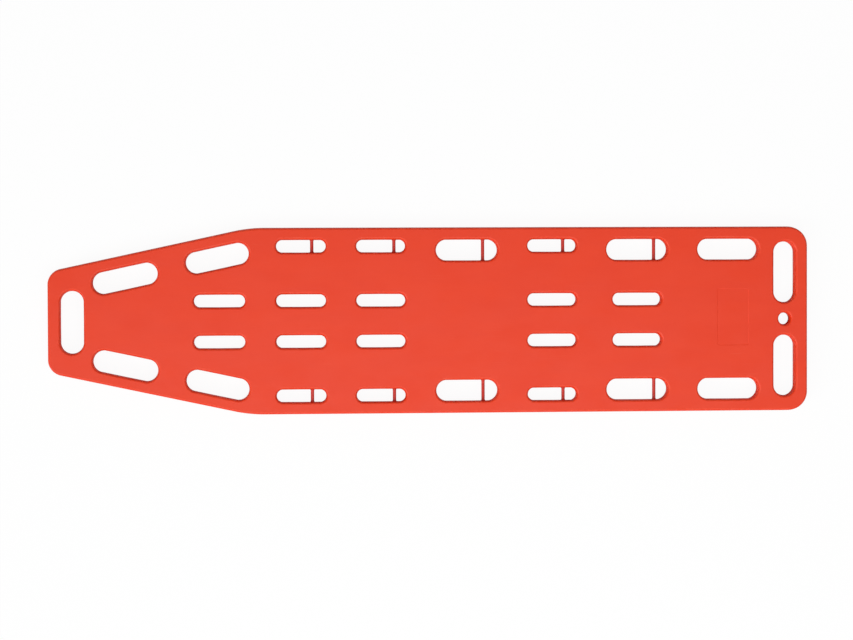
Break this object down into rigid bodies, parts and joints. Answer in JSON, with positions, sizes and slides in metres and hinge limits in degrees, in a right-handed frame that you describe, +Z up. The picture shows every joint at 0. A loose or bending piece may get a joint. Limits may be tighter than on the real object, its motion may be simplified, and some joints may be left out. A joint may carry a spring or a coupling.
{
  "type": "spine board",
  "caption": "Foam-filled moulded spine board with hand holes round the edge, strap slots, strap pins, a hanging hole and runners underneath.",
  "frame": {"origin": "on the floor under the middle of the board's length and width, where its runners stand", "axes": "+X along the board towards the head end, +Y to its left side seen from above, +Z up through the deck"},
  "size_m": [1.83, 0.447, 0.045],
  "materials": {
    "shell_plastic": "satin, fine moulded grain",
    "pin_plastic": "satin, coloured through",
    "plug_plastic": "satin",
    "foam": "rigid closed-cell foam",
    "tube_composite": "pultruded, fine lengthwise grain",
    "cap_plastic": "matt"
  },
  "bodies": {
    "root": {"board_shell": "shell_plastic", "foam_core": "foam", "strap_pin_left_shoulder": "pin_plastic", "strap_pin_right_shoulder": "pin_plastic", "strap_pin_left_chest": "pin_plastic", "strap_pin_right_chest": "pin_plastic", "strap_pin_left_waist": "pin_plastic", "strap_pin_right_waist": "pin_plastic", "strap_pin_left_hip": "pin_plastic", "strap_pin_right_hip": "pin_plastic", "strap_pin_left_thigh": "pin_plastic", "strap_pin_right_thigh": "pin_plastic", "stiffener_tube_left_outer": "tube_composite", "tube_cap_head_left_outer": "cap_plastic", "tube_cap_foot_left_outer": "cap_plastic", "stiffener_tube_left_inner": "tube_composite", "tube_cap_head_left_inner": "cap_plastic", "tube_cap_foot_left_inner": "cap_plastic", "stiffener_tube_right_outer": "tube_composite", "tube_cap_head_right_outer": "cap_plastic", "tube_cap_foot_right_outer": "cap_plastic", "stiffener_tube_right_inner": "tube_composite", "tube_cap_head_right_inner": "cap_plastic", "tube_cap_foot_right_inner": "cap_plastic", "foam_fill_plug": "plug_plastic"}
  },
  "joints": []
}
